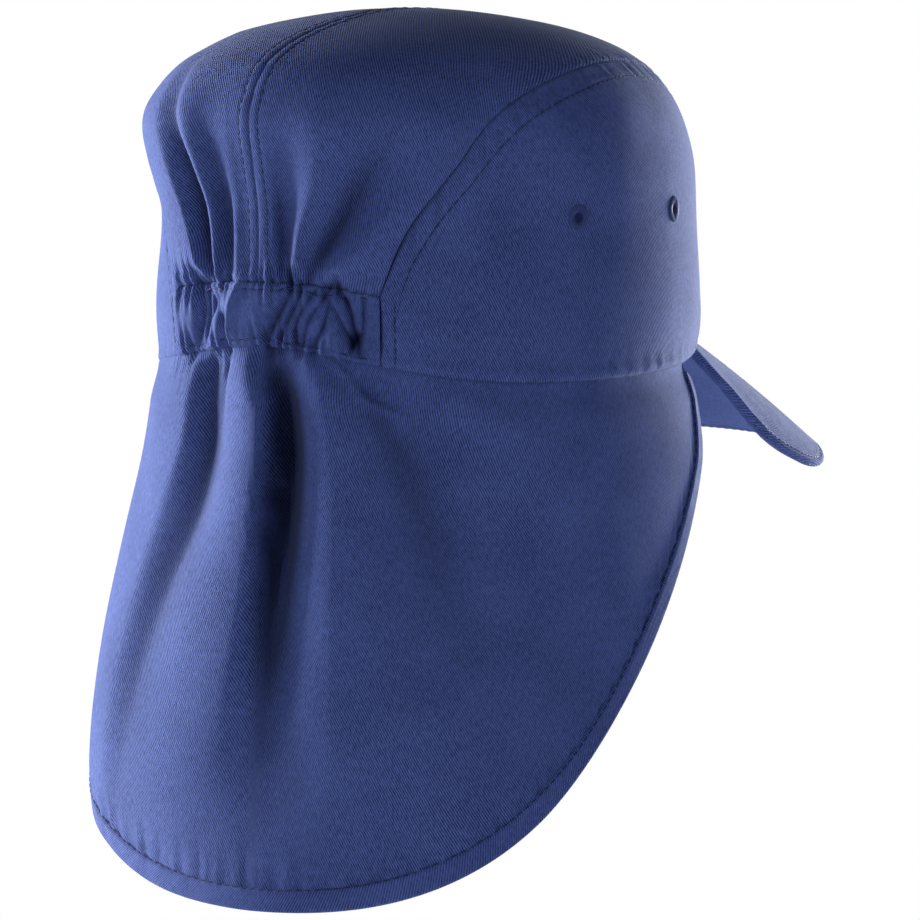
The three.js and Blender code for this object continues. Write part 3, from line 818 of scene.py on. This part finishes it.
def eyeletPlaces():
    along = float(alongAtHeight(eyeletHeight + rimDip))
    places = {}
    for name, turn in eyeletTurns.items():
        across = frontAt(turn + 1.0, along) - frontAt(turn - 1.0, along)
        upward = frontAt(float(turn), along + 0.01) - frontAt(float(turn), along - 0.01)
        normal = np.cross(across, upward)
        places[name] = (Vector(frontAt(float(turn), along)), Vector(normal / np.linalg.norm(normal)))
    return places


eyelets = eyeletPlaces()
frontPiece = makeGrid(
    "frontPanel", points, cloth, crownCloth, crease=creaseDepth(relief, frontPanel),
    leaveOut=lambda middle: any((middle - at).length < eyeletSpace for at, normal in eyelets.values()))
thicken(frontPiece, frontPanel)
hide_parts("front_panel")
print("stage: front panel")

# crown panels, each a four-sided patch between the centre seam, the casing, the side seam and the forehead
crownPanel = {
    "columns": 190, "rows": 150, "wall": 1.2, "edge": 0.12, "creaseSpread": (30, 100), "creaseFull": 2.6,
    "corner": 140, "topstitch": 3.3, "casingGroove": 0.4, "casingRoll": 0.5, "seamPucker": 0.14,
}


def discPoint(turn, along):
    return np.stack([np.sin(np.radians(turn)) * (1 - along), np.cos(np.radians(turn)) * (1 - along)], -1)


def crownPatch(u, v):
    bottom = casingAlong
    corner = crownPanel["corner"]

    def centre(s):
        return np.stack([0 * s, (1 - bottom) + (seamAlong(np.array(180.0)) + bottom - 2) * s], -1)

    def outer(s):
        turn = casingTurn + (corner - casingTurn) * s
        return discPoint(turn, seamAlong(turn))

    def back(w):
        return discPoint(casingTurn * w, bottom + 0 * w)

    def front(w):
        turn = 180 + (corner - 180) * w
        return discPoint(turn, seamAlong(turn))

    s, w = u[..., None], v[..., None]
    zero, one = np.zeros_like(u), np.ones_like(u)
    place = centre(u) * (1 - w) + outer(u) * w + back(v) * (1 - s) + front(v) * s
    place -= centre(zero) * (1 - s) * (1 - w) + outer(zero) * (1 - s) * w
    place -= centre(one) * s * (1 - w) + outer(one) * s * w
    return np.degrees(np.arctan2(place[..., 0], place[..., 1])), 1 - np.linalg.norm(place, axis=-1)


def makeCrownPanel(name, side, node):
    u, v = shareGrid(crownPanel["columns"], crownPanel["rows"])
    turn, along = crownPatch(spaced(u, 0.45), spaced(v, 0.6))
    turn = turn * side
    points = crownAt(turn, along)
    plainAcross = clothLength(points, 1)
    cloth = np.stack([(plainAcross + 300) * side, clothLength(points, 0)], -1)
    rise = along * crownGirth
    slope = (seamAlong(turn + 1) - seamAlong(turn - 1)) / 2 * crownGirth / perTurn(turn)
    toSide = (along - seamAlong(turn)) * crownGirth / np.hypot(1, slope)
    toCentre = np.abs(points[..., 0])
    toCasing = rise - casingAlong * crownGirth
    relief = 0.8 * seamEdgeRelief(toCentre) + 0.6 * topstitchRelief(toCentre - crownPanel["topstitch"])
    relief += np.where(fromBack(turn) > casingTurn - 1, seamEdgeRelief(toSide), 0)
    roll = groove(toCasing, crownPanel["casingGroove"], 0.7)
    roll += crownPanel["casingRoll"] * bell(toCasing - 2.5, 1.6)
    relief += np.where(fromBack(turn) <= casingTurn - 1, roll, 0) + gathered(turn, rise)
    relief += drapeRelief(crownDrape, turn, rise)
    relief += pucker(points[..., 1] + side * 31, toCentre - 2.5, crownPanel["seamPucker"], 4)
    relief += pucker(turn * 1.5, toSide - 2, crownPanel["seamPucker"], 4)
    level = ease(toCasing, 0, 9)[..., None]
    normal = gridNormals(points, side * -1) * level + planNormal(turn) * (1 - level)
    points = points + normal * relief[..., None]
    # the twill follows the gathers, and comes back to its plain lie beyond them
    cloth[..., 0] += side * (clothLength(points, 1) - plainAcross) * (1 - ease(fromBack(turn), 24, 70))
    crease = creaseDepth(relief, crownPanel)
    made = makeGrid(name, points, cloth, crownCloth, flip=side > 0, crease=crease)
    thicken(made, crownPanel)
    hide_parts(node)
    return made


rightCrown = makeCrownPanel("crownPanelRight", 1, "crown_panel_right")
leftCrown = makeCrownPanel("crownPanelLeft", -1, "crown_panel_left")
print("stage: crown panels")


# gathered casing over the elastic at the back
def casingAt(turn, along):
    share = along / casingAlong
    bulge = casingBulge * (4 * share * (1 - share)) ** 0.6
    return plainCrown(turn, along) + outward(turn, bulge)


casing = {
    "columns": 230, "rows": 64, "wall": 1.6, "edge": 0.12, "creaseSpread": (60, 60), "creaseFull": 1.8,
    "topStitch": 2.6, "lowStitch": 2.4, "stitchLength": 1.9, "perDegree": 2.3,
}
u, v = shareGrid(casing["columns"], casing["rows"])
turn = -casingTurn + 2 * casingTurn * spaced(u, 0.2)
along = casingAlong * spaced(v, 0.6)
rise = along * crownGirth
points = casingAt(turn, along)
toTop = casingAlong * crownGirth - rise
toEnd = (casingTurn - np.abs(turn)) * perTurn(turn)
relief = groove(toTop, 0.4, 0.5) + groove(rise, 0.7, 0.6) + seamEdgeRelief(toEnd) + gathered(turn, rise)
relief += topstitchRelief(toTop - casing["topStitch"]) + topstitchRelief(rise - casing["lowStitch"])
points = points + outward(turn, relief)
cloth = np.stack([turn * casing["perDegree"] + 700, rise], -1)
casingPiece = makeGrid("elasticCasing", points, cloth, casingCloth, crease=creaseDepth(relief, casing))
thicken(casingPiece, casing)
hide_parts("elastic_casing")
print("stage: casing")

# neck flap, tucked up behind the rim and hanging free
flap = {
    "columns": 390, "rows": 114, "wall": 1.1, "edge": 0.35, "creaseSpread": (90, 45), "creaseFull": 4.2,
    "tuck": 4.0, "hemPucker": 0.34, "levelRow": 45, "rightColumn": 314, "leftColumn": 76,
}
u, v = shareGrid(flap["columns"], flap["rows"])


def flapSurface(turn, down):
    # the cloth starts behind the rim and comes out from under it
    inset = (0.8 + 1.4 * ease(turn, -20, 25)) * (1 - ease(down, 1, 12))
    return flapAt(turn, down) - outward(turn, inset)


edgeTurn, edgeDown = flapEdge(u, hemWidth - 2.0)
topTurn = (flapTurn - 2) * np.sin((2 * u - 1) * pi / 2) * 0.985
down = -flap["tuck"] + (edgeDown + flap["tuck"]) * spaced(v, 0.35)
turn = topTurn + (edgeTurn - topTurn) * v
points = flapSurface(turn, down)
relief = foldRelief(turn, -down) + gatherRipple(turn + 3, -down, 0, gatherReach["flap"])
relief += drapeRelief(flapDrape, turn, -down)
points = points + gridNormals(points, -1) * relief[..., None]
# the twill follows one row round the folds, and comes back to its plain lie at both sides
length = clothLength(points, 0)
length = length - length[flap["columns"] // 2]
level = length[:, flap["levelRow"]:flap["levelRow"] + 1]
drift = 0.35 * (length - level)
length = level + drift - drift[flap["rightColumn"]] * ease(turn, 8, 90)
length = length - drift[flap["leftColumn"]] * ease(-turn, 30, 95)
cloth = np.stack([length + 900, -down], -1)
toHem = edgeDown - down
along = clothLength(points, 0)
points = points + outward(turn, pucker(along[:, -1:], toHem - 3, flap["hemPucker"], 7))
flapPiece = makeGrid("neckFlap", points, cloth, flapCloth, flip=True, crease=creaseDepth(relief, flap))
thicken(flapPiece, flap)
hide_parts("neck_flap")
print("stage: flap")

# hem folded round the flap's edge
hem = {"columns": 460, "thick": 2.0, "puff": 1.35, "sink": 0.55, "over": 0.25, "stitch": 0.9}
outline = []  # inset from the edge, offset from the cloth
half = hem["thick"] / 2
for i in range(9):
    outline.append((hemWidth - (hemWidth - half) * i / 8, half * (1 if i else 0.2)))
for i in range(1, 6):
    outline.append((half - half * sin(pi * i / 6), half * cos(pi * i / 6)))
for i in range(9):
    outline.append((half + (hemWidth - half) * i / 8, -half * (1 if i < 8 else 0.45)))
outline.append(outline[0])
rows = len(outline) - 1
u = np.arange(hem["columns"] + 1) / hem["columns"]
points = np.zeros((len(u), rows + 1, 3))
cloth = np.zeros((len(u), rows + 1, 2))
centreTurn, centreDown = flapEdge(u, hemWidth / 2)
lowTurn, lowDown = flapEdge(u, 0)
highTurn, highDown = flapEdge(u, hemWidth)
low, high = flapSurface(lowTurn, lowDown), flapSurface(highTurn, highDown)
relief = foldRelief(centreTurn, -centreDown) + drapeRelief(flapDrape, centreTurn, -centreDown) + hem["over"]
sweep = np.gradient(low, axis=0)
normal = np.cross(sweep, high - low)
normal /= np.linalg.norm(normal, axis=-1, keepdims=True)
length = np.concatenate([[0], np.cumsum(np.linalg.norm(np.diff(low, axis=0), axis=-1))])
for j, (inset, offset) in enumerate(outline):
    middle = low + (high - low) * (inset / hemWidth)
    points[:, j] = middle + normal * (relief - hem["sink"] + offset * hem["puff"])[:, None]
    cloth[:, j] = np.stack([length + 1300, np.full_like(length, inset + (20 if offset < 0 else 0))], -1)
hemPiece = makeGrid("flapHem", points, cloth, hemCloth, weld=0.01)
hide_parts("flap_hem")
print("stage: hem")

# peak: a board between two layers of cloth, thin at its root and rounded at its edge
peak = {
    "columns": 200, "rows": 70, "half": 1.7, "stitch": 3.6, "lift": 1.7,
    "rootTurn": 57, "rootHeight": 4.2, "rootInset": 1.2, "wide": 72, "reach": 74, "drop": 28.8, "crest": 1.6,
}


def peakMiddle(u, v):
    across = 2 * u - 1
    side = np.abs(across)
    turn = 180 - across * peak["rootTurn"]
    root = frontAt(turn, alongAtHeight(peak["rootHeight"])) - outward(turn, peak["rootInset"] + 0 * turn)
    edge = np.stack([
        -np.sign(across) * readTable(peakEdge, 1, side) * peak["wide"],
        -(crownLength / 2 + readTable(peakEdge, 2, side) * peak["reach"]),
        -rimDip - readTable(peakEdge, 3, side) * peak["drop"]], -1)
    crest = readTable(peakEdge, 4, side) * peak["crest"] * 4 * v * (1 - v)
    middle = root + (edge - root) * v[..., None]
    middle[..., 2] += crest
    return middle


u, v = shareGrid(peak["columns"], peak["rows"])
u, v = spaced(u, 0.4), 1 - (1 - v) ** 1.35
middle = peakMiddle(u, v)
normal = gridNormals(middle)
spanAcross = np.minimum(u, 1 - u) * 2 * 95
toRim = np.linalg.norm(middle - peakMiddle(u, np.ones_like(v)), axis=-1)
toEdge = np.minimum(toRim, spanAcross)
half = peak["half"]
thick = half * np.sqrt(np.clip(1 - (1 - np.clip(toEdge / half, 0, 1)) ** 2, 0, 1))
thick = thick + topstitchRelief(toEdge - peak["stitch"]) * 2.2 * ease(toEdge, 0.5, 2)
lift = normal * peak["lift"]
top = middle - lift + normal * thick[..., None]
bottom = middle - lift - normal * thick[..., None]
both = np.concatenate([top, bottom[:, -2::-1]], axis=1)
acrossCloth = np.broadcast_to((u[:, :1] - 0.5) * 230 + 2000, both.shape[:2])
bothCloth = np.stack([acrossCloth, clothLength(both, 1)], -1)
peakPiece = makeGrid("peakCover", both, bothCloth, peakCloth, weld=0.002)
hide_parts("peak")
print("stage: peak")

# embroidered eyelets with thread lying across the ring
eyelet = {"radius": 4.2, "hole": 1.5, "around": 120, "section": 10, "high": 0.85, "threads": 34, "sink": 0.25}
for name, (at, normal) in eyelets.items():
    section = eyelet["section"]
    spin = np.arange(eyelet["around"] + 1) / eyelet["around"] * 2 * pi
    lean = normal.to_track_quat("Z", "Y").to_matrix()
    points = np.zeros((eyelet["around"] + 1, section + 1, 3))
    cloth = np.zeros((eyelet["around"] + 1, section + 1, 2))
    for j in range(section + 1):
        bend = 2 * pi * j / section
        ridge = 0.12 * np.cos(spin * eyelet["threads"]) * max(0, sin(bend))
        reach = (eyelet["radius"] + eyelet["hole"]) / 2 + (eyelet["radius"] - eyelet["hole"]) / 2 * cos(bend)
        reach = reach + 0.14 * np.sin(spin * eyelet["threads"] / 2 + 1)
        tall = eyelet["high"] * sin(bend) + ridge - eyelet["sink"]
        local = np.stack([reach * np.cos(spin), reach * np.sin(spin), tall * np.ones_like(spin)], -1)
        points[:, j] = local @ np.array(lean).T + np.array(at)
        cloth[:, j] = np.stack([spin * 3, np.full_like(spin, j * 0.6)], -1)
    ring = makeGrid(name.replace("_", "-"), points, cloth, eyeletThread, weld=0.01)
    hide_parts(name)
print("stage: eyelets")

# rows of stitches, laid on the finished cloth
bpy.context.view_layer.update()


def clothTree(piece):
    mesh = piece.data
    return BVHTree.FromPolygons([v.co for v in mesh.vertices], [p.vertices for p in mesh.polygons])


stitch = {"length": 2.3, "gap": 0.8, "radius": 0.22, "sink": 0.20}


def stitchRow(form, tree, path, length=stitch["length"]):
    # path is an array of places in millimetres
    gap, radius = stitch["gap"], stitch["radius"]
    steps = np.concatenate([[0], np.cumsum(np.linalg.norm(np.diff(path, axis=0), axis=-1))])
    count = int(steps[-1] // (length + gap))
    for k in range(count):
        ends = []
        for part in (k * (length + gap), k * (length + gap) + length):
            place = Vector([np.interp(part, steps, path[:, axis]) for axis in range(3)]) * mm
            found, normal, face, away = tree.find_nearest(place)
            ends.append((found, normal))
        (first, normal), (second, other) = ends
        line = second - first
        if line.length < 0.5 * length * mm:
            continue
        out = (normal + other).normalized()
        side = out.cross(line).normalized()
        out = line.normalized().cross(side)
        middle = (first + second) / 2 + out * (radius - stitch["sink"]) * mm * 0.4
        turned = Matrix((line.normalized(), side, out)).transposed().to_4x4()
        sizes = Matrix.Diagonal((line.length / 2, radius * mm, radius * 0.8 * mm, 1))
        matrix = Matrix.Translation(middle) @ turned @ sizes @ Matrix.Rotation(pi / 2, 4, "Y")
        bmesh.ops.create_uvsphere(form, u_segments=7, v_segments=5, radius=1, matrix=matrix)


def finishStitches(name, form):
    for face in form.faces:
        face.smooth = True
    mesh = bpy.data.meshes.new(name)
    form.to_mesh(mesh)
    form.free()
    mesh.materials.append(seamThread)
    made = bpy.data.objects.new(name, mesh)
    bpy.context.collection.objects.link(made)
    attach(made, "root")
    return made


frontTree, casingTree = clothTree(frontPiece), clothTree(casingPiece)
crownTrees = {1: clothTree(rightCrown), -1: clothTree(leftCrown)}
flapTree, hemTree, peakTree = clothTree(flapPiece), clothTree(hemPiece), clothTree(peakPiece)

# crown seams
form = bmesh.new()
for side, tree in crownTrees.items():
    path = []
    for place in np.linspace(casingAlong + 0.01, 2 - seamAlong(np.array(180.0)) - 0.01, 240):
        turn, along = (0.0, place) if place < 1 else (180.0, 2 - place)
        point = crownAt(np.array(turn), np.array(along))
        path.append([-side * crownPanel["topstitch"], point[1], point[2]])
    stitchRow(form, tree, np.array(path))
crownStitches = finishStitches("crownStitches", form)

form = bmesh.new()
# front panel, above the side seam and beside the casing
around = np.linspace(casingTurn + 4.5, 360 - casingTurn - 4.5, 900)
slope = (seamAlong(around + 1) - seamAlong(around - 1)) / 2 * crownGirth / perTurn(around)
path = frontAt(around, seamAlong(around) - frontPanel["topstitch"] * np.hypot(1, slope) / crownGirth)
stitchRow(form, frontTree, path)
for side in (1, -1):
    up = np.linspace(0.01, casingAlong * 0.98, 30)
    turn = np.full_like(up, casingTurn + frontPanel["endStitch"] / 1.45)
    if side < 0:
        turn = 360 - turn
    stitchRow(form, frontTree, frontAt(turn, up))
frontStitches = finishStitches("frontStitches", form)

form = bmesh.new()
around = np.linspace(-casingTurn + 1, casingTurn - 1, 200)
for rise in (casingAlong * crownGirth - casing["topStitch"], casing["lowStitch"]):
    path = casingAt(around, np.full_like(around, rise / crownGirth))
    stitchRow(form, casingTree, path, casing["stitchLength"])
casingStitches = finishStitches("casingStitches", form)

form = bmesh.new()
turn, down = flapEdge(np.linspace(0.004, 0.996, 700), hemWidth - hem["stitch"])
stitchRow(form, hemTree, flapSurface(turn, down))
hemStitches = finishStitches("hemStitches", form)

form = bmesh.new()
u = np.linspace(0.03, 0.97, 500)
for sign in (1, -1):
    rim = peakMiddle(u, np.ones_like(u))
    inner = peakMiddle(u, np.full_like(u, 0.9))
    step = (inner - rim) / np.linalg.norm(inner - rim, axis=-1, keepdims=True)
    path = rim + step * peak["stitch"]
    path[:, 2] += sign * 1.9 - peak["lift"]
    stitchRow(form, peakTree, path)
peakStitches = finishStitches("peakStitches", form)
print("stage: stitches")

print("stage: finished")
